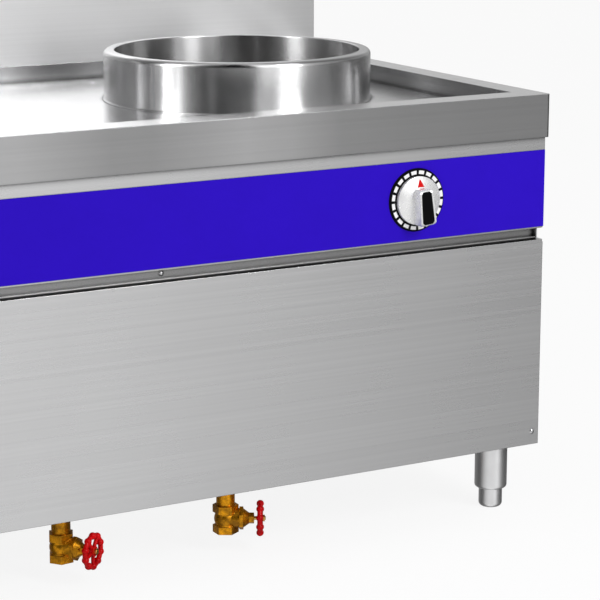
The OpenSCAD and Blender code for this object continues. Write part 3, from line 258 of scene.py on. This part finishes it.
def brushed(name, colour, rough, upright=None, radius=0.0015, metal=1.0):
    """Brushed sheet steel: fine straight lines, slow smudges, worn edges, and painted shade in
    narrow gaps.
    Upright faces can take a ramp of painted reflections and shade along X."""
    g = Graph(name)
    fine = g.grain(FINE_LINES)
    lines = g.grain(WIDE_LINES)
    smudge = g.noise(3.2, detail=3, rough=0.6)
    edge, rounded = g.edges(radius)
    low, high = scaled(colour, 1 - BRUSH_CONTRAST), scaled(colour, 1 + BRUSH_CONTRAST)
    tone = g.blend(g.sway(lines, 0.0, 1.0), low, high)
    # upright faces take painted light and shade: their tone is multiplied by a ramp along X
    if upright:
        standing = g.math("LESS_THAN", g.math("ABSOLUTE", g.facing[2]), FACING)
        tone = g.blend(standing, tone, g.blend(1.0, tone, g.painted_light_ramp(upright), "MULTIPLY"))
    tone = g.over(tone, SMUDGE, g.mask(smudge, 0.45, 0.75), 0.04)
    tone = g.over(tone, RUBBED_STEEL, edge, 0.35)
    # painted shade: near black in narrow gaps and corners, where AO finds them
    tone = g.over(tone, SHADE_BLACK, g.shade_in_gaps(), 0.90)
    r = g.math("ADD", g.sway(lines, rough - 0.01, rough + 0.01), g.sway(smudge, -0.02, 0.03),
               clamp=True)
    return g.finish(tone, r, g.bump(fine, 0.006, 0.0002, rounded), metal=metal)


def polished(name, colour, rough, turned=True, streak=0.0, smear=0.05, level=1.0):
    """Polished metal with small scratches, and turning lines round Z. Streak draws its highlights
    out upright, and level paints shade on the faces that look up, to dim their highlight."""
    g = Graph(name)
    around = g.noise(700, (0.02, 0.02, 1.0) if turned else (1, 1, 1), detail=2)
    smudge = g.noise(14, detail=3, rough=0.6)
    scratch = g.mask(g.noise(260, (1, 1, 0.2), detail=2), 0.66, 0.74)
    edge, rounded = g.edges(0.0008)
    tone = g.blend(g.mask(smudge, 0.35, 0.7, 0.6), colour, scaled(colour, 0.82))
    # painted shade: faces that look up are darkened to level times the colour
    if level < 1.0:
        top_shade_mask = g.math("GREATER_THAN", g.facing[2], FACING)
        tone = g.blend(top_shade_mask, tone, scaled(colour, level))
    tone = g.over(tone, RUBBED_CHROME, edge, 0.3)
    r = g.math("ADD", g.sway(smudge, rough, rough + smear), g.math("MULTIPLY", scratch, 0.03))
    material = g.finish(tone, r, g.bump(around, 0.04, 0.0003, rounded), metal=1.0)
    if streak:
        tangent = g.node("ShaderNodeTangent", direction_type="RADIAL", axis="Z")
        g.link(tangent.outputs[0], g.shader.inputs["Tangent"])
        g.shader.inputs["Anisotropic"].default_value = streak
        g.shader.inputs["Anisotropic Rotation"].default_value = UPRIGHT_STREAK
    return material


def cast(name, colour, dark, rough, metal, rubbed):
    """Cast metal: pitted surface, dark hollows, bright rubbed edges."""
    g = Graph(name)
    pits = g.noise(220, detail=5, rough=0.6)
    blotch = g.noise(28, detail=4, rough=0.65)
    edge, rounded = g.edges(0.0014)
    tone = g.blend(g.mask(blotch, 0.38, 0.66), colour, dark)
    tone = g.blend(g.spread(pits, 0.5, 0.0, 0.3, 0.55), tone, scaled(dark, 0.45))
    tone = g.over(tone, rubbed, edge, 0.7)
    r = g.sway(blotch, rough - 0.08, rough + 0.10)
    return g.finish(tone, r, g.bump(pits, 0.35, 0.0010, rounded), metal=metal)


def painted(name, colour, rough, under=PRIMER, orange=0.06, coat=0.0, vary=0.12, worn=0.5,
            gloss=0.5):
    """Paint: slight orange peel, tone variation, and edges chipped down to what is under it."""
    g = Graph(name)
    peel = g.noise(620, detail=2)
    cloud = g.noise(9, detail=4, rough=0.6)
    chips = g.noise(90, detail=4, rough=0.7)
    edge, rounded = g.edges(0.0010)
    tone = g.blend(g.mask(cloud, 0.35, 0.65), scaled(colour, 1 - vary), scaled(colour, 1 + vary))
    chipped = g.math("MULTIPLY", edge, g.mask(chips, 0.52, 0.60))
    tone = g.over(tone, under, chipped, worn)
    r = g.math("ADD", g.sway(cloud, rough - 0.04, rough + 0.05), g.math("MULTIPLY", chipped, 0.2))
    return g.finish(tone, r, g.bump(peel, orange, 0.0004, rounded),
                    Coat_Weight=coat, Coat_Roughness=0.12, Specular_IOR_Level=gloss)


def galvanised(name, colour, rough):
    """Zinc-coated sheet with its spangle, dust and bright edges."""
    g = Graph(name)
    cells = g.node("ShaderNodeTexVoronoi")
    cells.inputs["Scale"].default_value = 70
    g.link(g.place, cells.inputs["Vector"])
    spangle = g.node("ShaderNodeSeparateColor")
    g.link(cells.outputs["Color"], spangle.inputs[0])
    dust = g.noise(12, detail=4, rough=0.65)
    edge, rounded = g.edges(0.0010)
    tone = g.blend(spangle.outputs[0], scaled(colour, 0.86), scaled(colour, 1.12))
    tone = g.blend(g.mask(dust, 0.45, 0.75, 0.5), tone, DUST)
    tone = g.over(tone, RUBBED_ZINC, edge, 0.4)
    r = g.spread(spangle.outputs[1], rough - 0.06, rough + 0.08)
    return g.finish(tone, r, g.bump(g.noise(300, detail=3), 0.10, 0.0004, rounded), metal=0.9)


def refractory(name, colour):
    """Cast refractory: coarse and lumpy, with patches of soot."""
    g = Graph(name)
    grit = g.noise(330, detail=6, rough=0.65)
    lumps = g.noise(45, detail=4)
    soot = g.noise(7, detail=4, rough=0.6)
    tone = g.blend(g.mask(lumps, 0.35, 0.65), colour, scaled(colour, 0.72))
    tone = g.blend(g.mask(soot, 0.42, 0.68, 0.8), tone, SOOT)
    tone = g.blend(g.spread(grit, 0.4, 0.0, 0.35, 0.5), tone, PIT)
    both = g.math("ADD", grit, g.math("MULTIPLY", lumps, 1.2))
    return g.finish(tone, g.spread(grit, 0.82, 0.96), g.bump(both, 0.7, 0.0022))


def moulded(name, colour, rough, metal=0.0, coat=0.0, gloss=0.5, marked=0.86):
    """Moulded plastic: fine texture, handling marks, paler edges."""
    g = Graph(name)
    skin = g.noise(1500, detail=2)
    marks = g.noise(60, detail=4, rough=0.65)
    edge, rounded = g.edges(0.0012)
    tone = g.blend(g.mask(marks, 0.45, 0.75, 0.5), colour, scaled(colour, marked))
    tone = g.over(tone, scaled(colour, 1.3, lift=0.03), edge, 0.35)
    r = g.sway(marks, rough - 0.05, rough + 0.08)
    return g.finish(tone, r, g.bump(skin, 0.05, 0.0002, rounded), metal=metal,
                    Coat_Weight=coat, Coat_Roughness=0.08, Specular_IOR_Level=gloss)


# Painted reflections and shade on the upright faces of the lip, and painted shade towards the ends
# of the backsplash: metres to the right of the middle, and tone
LIP_PAINTED_LIGHT = [
    (-0.78, 0.60), (-0.254, 0.59), (-0.086, 0.44), (-0.012, 0.45), (0.082, 0.56),
    (0.166, 0.68), (0.254, 0.65), (0.354, 0.50), (0.476, 0.49), (0.78, 0.54),
]
SPLASH_PAINTED_SHADE = [(-0.78, 0.74), (-0.48, 1.0), (0.20, 1.0), (0.48, 0.94), (0.78, 0.70)]

looks = {
    "top": brushed("top_steel", (0.84, 0.84, 0.845), 0.22, upright=LIP_PAINTED_LIGHT, radius=0.0022),
    "front": brushed("front_steel", (0.70, 0.70, 0.705), 0.27),
    "side": brushed("side_steel", (0.66, 0.66, 0.665), 0.30, metal=0.75),
    "back": brushed("back_steel", (0.56, 0.56, 0.565), 0.42, metal=0.75),
    "splash": brushed("splash_steel", (0.71, 0.71, 0.715), 0.44, upright=SPLASH_PAINTED_SHADE),
    "groove": brushed("groove_steel", (0.46, 0.46, 0.46), 0.30),
    # the ring's faces that look up get painted shade, at 0.70 of its colour, against their
    # highlight
    "ring": polished("ring_chrome", (0.82, 0.82, 0.825), 0.22, streak=0.96, smear=0.004,
                     level=0.70),
    "leg": polished("leg_steel", (0.86, 0.86, 0.865), 0.36, smear=0.04),
    "screw": polished("screw_steel", (0.62, 0.62, 0.63), 0.24, turned=False),
    "turned": polished("turned_brass", (0.74, 0.48, 0.12), 0.22, turned=False),
    "zinc": galvanised("zinc_sheet", (0.56, 0.575, 0.585), 0.42),
    "angle": painted("angle_primer", (0.10, 0.105, 0.11), 0.55),
    "blue": painted("band_blue", (0.024, 0.003, 0.495), 0.50, orange=0.02, vary=0.02, worn=0.1,
                    gloss=0.06),
    "dial": painted("dial_black", (0.004, 0.004, 0.0045), 0.45, worn=0.1, gloss=0.06),
    "dash": painted("dash_white", (0.90, 0.90, 0.90), 0.45, vary=0.03, worn=0.0),
    "red_mark": painted("mark_red", (0.66, 0.0, 0.0), 0.40, vary=0.05, worn=0.0, gloss=0.1),
    "wheel": painted("wheel_red", (0.55, 0.0, 0.002), 0.34, under=(0.07, 0.02, 0.02), coat=0.05,
                     vary=0.4, gloss=0.12),
    "motor": painted("motor_grey", (0.055, 0.06, 0.065), 0.45, coat=0.2),
    "blower": painted("blower_blue", (0.07, 0.10, 0.13), 0.42, coat=0.2),
    "knob": moulded("knob_silver", (0.86, 0.86, 0.855), 0.27, metal=0.45, coat=0.1, marked=0.96),
    "inset": moulded("inset_black", (0.002, 0.002, 0.0022), 0.35, gloss=0.08),
    "brass": cast("cast_brass", (0.90, 0.38, 0.005), (0.24, 0.10, 0.002), 0.28, 0.80,
                  rubbed=(0.95, 0.50, 0.05)),
    "iron": cast("burner_iron", (0.060, 0.058, 0.056), (0.028, 0.026, 0.025), 0.68, 0.6,
                 rubbed=(0.22, 0.21, 0.20)),
    "lining": refractory("refractory", (0.075, 0.068, 0.060)),
}

NODE_LOOKS = {
    "worktop": "top", "wok_ring": "ring", "backsplash": "splash", "backsplash_cover": "back",
    "control_panel": "front", "colour_panel": "blue", "groove_rail": "groove",
    "lower_panel": "front", "side_panel": "side", "rear_panel": "back", "bottom_pan": "zinc",
    "base_frame": "angle", "upper_frame": "angle", "legs": "leg", "foot_front": "leg",
    "foot_rear": "leg", "chamber": "zinc", "lining": "lining", "burner": "iron",
    "air_pipe": "zinc", "blower_housing": "blower", "blower_motor": "motor", "impeller": "zinc",
    "flue": "zinc", "gas_pipes": "brass", "control_valve": "brass", "spindle": "turned",
    "dial": "dial", "knob": "knob", "knob_inset": "inset", "gate_valve": "brass",
    "bonnet": "brass", "gate": "turned", "valve_stem": "turned", "handwheel": "wheel",
    "screws": "screw",
}


def dress():
    """Gives every CAD node its material."""
    for name, obj in frame["nodes"].items():
        key = name
        for side in SIDES:
            key = key.removesuffix("_" + side)
        material = looks[NODE_LOOKS[key]]
        if not obj.data.materials:
            obj.data.materials.append(material)
        for slot in obj.material_slots:
            slot.material = material


dress()


# Marks on the dials and knobs

DASHES, DASH_STEPS = 20, 4
DASH_INNER, DASH_OUTER = 0.0475, 0.0540
DASH_SHARE = 0.70  # of the way round that the dashes fill
# The pointer: its middle's height over the knob's, half of its width, and its height
TRIANGLE_MID, TRIANGLE_HALF, TRIANGLE_H = 0.0335, 0.0073, 0.016
TRIANGLE_STEPS = 6
POINTER_TURN = math.radians(1)  # from upright
MARK_LIFT, MARK_SINK = 0.00015, 0.0002  # how far a mark stands out of its surface, and into it
RAY_START = 0.2  # in front of the dial, to find the knob's surface from


def put_in_scene(name, data):
    obj = bpy.data.objects.new(name, data)
    bpy.context.scene.collection.objects.link(obj)
    return obj


def mesh_object(name, bm, material, body):
    """Turns a bmesh into a piece that rides on a body."""
    mesh = bpy.data.meshes.new(name)
    bmesh.ops.recalc_face_normals(bm, faces=bm.faces)
    bm.to_mesh(mesh)
    bm.free()
    mesh.materials.append(looks[material])
    obj = put_in_scene(name, mesh)
    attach(obj, body)


def plate(bm, outline, place, low, high):
    """A thin plate with an outline of x and z round a place, between two depths behind it."""
    rings = []
    for depth in (low, high):
        rings.append([bm.verts.new(place + Vector((x, depth, z))) for x, z in outline])
    bm.faces.new(rings[0])
    bm.faces.new(rings[1][::-1])
    for i in range(len(outline)):
        j = (i + 1) % len(outline)
        bm.faces.new((rings[0][i], rings[1][i], rings[1][j], rings[0][j]))


def dial_dashes(side):
    """The ring of white dashes printed on a dial plate."""
    low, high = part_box(f"dial_{side}")
    middle = Vector(((low.x + high.x) / 2, low.y, (low.z + high.z) / 2))
    bm = bmesh.new()
    half = math.pi / DASHES * DASH_SHARE
    for i in range(DASHES):
        turn = 2 * math.pi * (i + 0.5) / DASHES
        angles = [turn - half + 2 * half * k / DASH_STEPS for k in range(DASH_STEPS + 1)]
        outline = [(DASH_OUTER * math.sin(a), DASH_OUTER * math.cos(a)) for a in angles]
        outline += [(DASH_INNER * math.sin(a), DASH_INNER * math.cos(a)) for a in reversed(angles)]
        plate(bm, outline, middle, -MARK_LIFT, MARK_SINK)
    mesh_object(f"dial_dashes_{side}", bm, "dash", "range")


def surface_tree(mesh):
    """A tree of a mesh's faces, for finding its surface."""
    bm = bmesh.new()
    bm.from_mesh(mesh)
    tree = BVHTree.FromBMesh(bm)
    bm.free()
    return tree


def triangle_points():
    """Points round the pointer's three sides as x and z, and then its middle."""
    base, tip = TRIANGLE_MID - TRIANGLE_H / 2, TRIANGLE_MID + TRIANGLE_H / 2
    corners = [(-TRIANGLE_HALF, base), (TRIANGLE_HALF, base), (0.0, tip)]
    points = []
    for a, b in zip(corners, corners[1:] + corners[:1]):
        for k in range(TRIANGLE_STEPS):
            points.append(tuple(p + (q - p) * k / TRIANGLE_STEPS for p, q in zip(a, b)))
    return points + [(0.0, TRIANGLE_MID - TRIANGLE_H / 6)]


def knob_triangle(side):
    """The red pointer on the knob's disc, laid on its dome."""
    low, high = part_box(f"dial_{side}")
    middle = Vector(((low.x + high.x) / 2, low.y, (low.z + high.z) / 2))
    tree = surface_tree(frame["nodes"][f"knob_{side}"].data)
    turn = Matrix.Rotation(-POINTER_TURN, 4, "Y")
    bm = bmesh.new()
    front, back = [], []
    for x, z in triangle_points():
        spot = turn @ Vector((x, 0, z))
        start = Vector((middle.x + spot.x, middle.y - RAY_START, middle.z + spot.z))
        hit = tree.ray_cast(start, Vector((0, 1, 0)))[0]
        front.append(bm.verts.new(hit + Vector((0, -MARK_LIFT, 0))))
        back.append(bm.verts.new(hit + Vector((0, MARK_SINK, 0))))
    count = len(front) - 1
    for i in range(count):
        j = (i + 1) % count
        bm.faces.new((front[i], front[j], front[count]))
        bm.faces.new((back[j], back[i], back[count]))
        bm.faces.new((front[j], front[i], back[i], back[j]))
    mesh_object(f"knob_pointer_{side}", bm, "red_mark", f"knob_{side}")


for side in SIDES:
    dial_dashes(side)
    knob_triangle(side)


# Camera, floor and light

FOCAL_PIXELS, FRAME_PIXELS, SENSOR = 2226.0, 600.0, 36.0
CAMERA_YAW, CAMERA_PITCH = math.radians(29.23), math.radians(12.74)
CAMERA_PLACE = Vector((-1.598, -3.82375, 1.334))
CLIP_NEAR, CLIP_FAR = 0.05, 100.0

camera = put_in_scene("camera", bpy.data.cameras.new("camera"))
camera.data.sensor_width = SENSOR
camera.data.lens = FOCAL_PIXELS / FRAME_PIXELS * SENSOR
camera.data.clip_start, camera.data.clip_end = CLIP_NEAR, CLIP_FAR
ahead = Vector((math.sin(CAMERA_YAW) * math.cos(CAMERA_PITCH),
                math.cos(CAMERA_YAW) * math.cos(CAMERA_PITCH), -math.sin(CAMERA_PITCH)))
camera.location = CAMERA_PLACE
camera.rotation_mode = "QUATERNION"
camera.rotation_quaternion = ahead.to_track_quat("-Z", "Y")
bpy.context.scene.camera = camera

FLOOR_REACH = 40.0
FLOOR_DARK, FLOOR_PALE = 0.90, 0.93
FLOOR_GLOW = 0.88  # the share of plain white in the floor that the camera sees


def floor():
    """A large pale floor: the camera sees it near white with the object's shadow, and metal sees
    the studio through it."""
    bm = bmesh.new()
    bmesh.ops.create_grid(bm, x_segments=1, y_segments=1, size=FLOOR_REACH)
    mesh = bpy.data.meshes.new("floor")
    bm.to_mesh(mesh)
    bm.free()
    obj = put_in_scene("floor", mesh)
    g = Graph("floor_pale")
    speck = g.noise(6, detail=3)
    g.finish(g.blend(speck, grey(FLOOR_DARK), grey(FLOOR_PALE)), g.spread(speck, 0.75, 0.85))
    path = g.node("ShaderNodeLightPath")
    glow = g.node("ShaderNodeEmission")
    pale = g.node("ShaderNodeMixShader")
    g.link(g.math("MULTIPLY", path.outputs["Is Camera Ray"], FLOOR_GLOW), pale.inputs[0])
    g.link(g.shader.outputs[0], pale.inputs[1])
    g.link(glow.outputs[0], pale.inputs[2])
    clear = g.node("ShaderNodeBsdfTransparent")
    seen = g.node("ShaderNodeMixShader")
    g.link(path.outputs["Is Glossy Ray"], seen.inputs[0])
    g.link(pale.outputs[0], seen.inputs[1])
    g.link(clear.outputs[0], seen.inputs[2])
    g.link(seen.outputs[0], g.output.inputs["Surface"])
    mesh.materials.append(g.material)


# Brightness of the studio as polished metal sees it, by degrees to the right of the camera
STUDIO = [
    (-180, 160), (-150, 140), (-125, 125), (-105, 95), (-84, 55), (-74, 125), (-67, 230),
    (-61, 285), (-55, 275), (-50, 235), (-43, 120), (-30, 45), (-12, 3), (8, 2), (16, 35),
    (25, 235), (33, 215), (42, 215), (48, 262), (53, 236), (58, 200), (65, 154), (76, 134),
    (93, 108), (115, 90), (140, 105), (165, 150),
]
# The same for what it sees below its own level, where the floor is lit in front and dark beside
STUDIO_LOW = [
    (-180, 150), (-150, 140), (-128, 115), (-105, 85), (-90, 75), (-75, 60), (-50, 200),
    (-30, 240), (-10, 250), (10, 240), (25, 220), (45, 250), (51, 240), (58, 204), (65, 157),
    (76, 118), (93, 75), (115, 65), (140, 95), (165, 140),
]
LOW_START, LOW_END = -0.03, -0.16  # heights between which STUDIO gives way to STUDIO_LOW
SKY_GAIN, SKY_TOP = 0.90, 0.25  # how much brighter it gets above the horizon, up to a height
WHITE_LEVEL, GAMMA = 255, 2.2
MATT_LEVEL = 0.62  # what surfaces without gloss get from the studio


def studio_ramp(w, around, stops):
    """Grey levels round the studio, which meet where the ramp's two ends do."""
    found = sorted((((math.degrees(CAMERA_YAW) - turned) / 360) % 1.0,
                    (level / WHITE_LEVEL) ** GAMMA) for turned, level in stops)
    end = (found[0][1] + found[-1][1]) / 2
    return w.ramp(around, found, (end, end))


def world():
    """A white studio, with soft darker bands all round that only metal shows."""
    studio = bpy.data.worlds.new("studio")
    bpy.context.scene.world = studio
    studio.use_nodes = True
    # Sampled as a lamp, the world would show metal its level for matt surfaces, and not its bands
    studio.cycles.sampling_method = "NONE"
    w = Nodes(studio.node_tree)
    path = w.node("ShaderNodeLightPath")
    x, y, z = w.split(w.node("ShaderNodeTexCoord").outputs["Generated"])
    around = w.spread(w.math("ARCTAN2", x, y), 0.0, 1.0, -math.pi, math.pi)
    bands = w.blend(w.mask(z, LOW_START, LOW_END),
                    studio_ramp(w, around, STUDIO), studio_ramp(w, around, STUDIO_LOW))
    lit = w.node("ShaderNodeVectorMath", operation="SCALE")
    w.link(bands, lit.inputs[0])
    w.link(w.spread(z, 1.0, 1.0 + SKY_GAIN, 0.0, SKY_TOP), lit.inputs["Scale"])
    shown = w.blend(path.outputs["Is Glossy Ray"], grey(MATT_LEVEL), lit.outputs[0])
    background = w.node("ShaderNodeBackground")
    w.link(w.blend(path.outputs["Is Camera Ray"], shown, grey(1.0)), background.inputs["Color"])
    output = w.node("ShaderNodeOutputWorld")
    w.link(background.outputs[0], output.inputs["Surface"])


# Name, place, size and power of each lamp
LAMPS = [
    ("key", (1.9, -4.2, 3.4), (1.4, 2.4), 115),
    ("side", (-3.6, -0.2, 2.6), (0.9, 2.0), 32),
]
LAMP_TARGET = Vector((0.2, 0, 0.6))


def area_light(name, place, size, power):
    lamp = bpy.data.lights.new(name, "AREA")
    lamp.shape = "RECTANGLE"
    lamp.size, lamp.size_y = size
    lamp.energy = power
    obj = put_in_scene(name, lamp)
    obj.location = place
    obj.rotation_mode = "QUATERNION"
    obj.rotation_quaternion = (LAMP_TARGET - Vector(place)).to_track_quat("-Z", "Y")


floor()
world()
for lamp in LAMPS:
    area_light(*lamp)

bpy.context.scene.view_settings.view_transform = "Standard"
